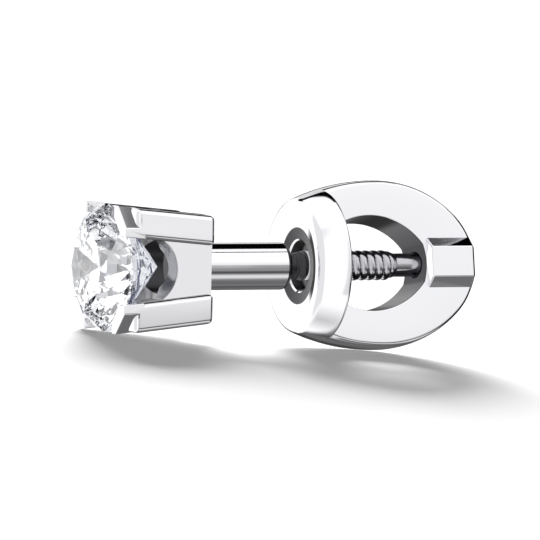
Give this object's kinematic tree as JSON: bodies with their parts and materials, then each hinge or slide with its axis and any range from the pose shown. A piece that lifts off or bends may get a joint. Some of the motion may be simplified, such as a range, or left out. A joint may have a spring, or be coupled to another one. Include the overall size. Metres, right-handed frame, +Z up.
{
  "type": "stud earring",
  "caption": "Polished white-metal screw-back stud earring: square claw setting with a round brilliant stone, a smooth post with a screw thread, and an egg-shaped cage nut.",
  "frame": {"origin": "middle of the bounding box, on the table top that the stud rests on", "axes": "+X from the stone to the nut along the table; +Z up; +Y to the far side of the picture. The stud's own axis rises 4.23 degrees from +X towards the nut, because the nut is larger than the setting"},
  "size_m": [0.0126, 0.0046, 0.0051],
  "materials": {
    "setting_metal": "mirror-polished rhodium-plated white gold",
    "cut_stone": "polished facets",
    "nut_metal": "mirror-polished rhodium-plated white gold"
  },
  "bodies": {
    "stud": {"claw_setting": "setting_metal", "stone": "cut_stone"},
    "nut": {"screw_nut": "nut_metal"}
  },
  "joints": [
    {"name": "nut_travel", "type": "slide", "parent": "stud", "child": "nut", "axis": [0.9973, 0, 0.0738], "range_m": [-0.00075, 0.00425]}
  ]
}
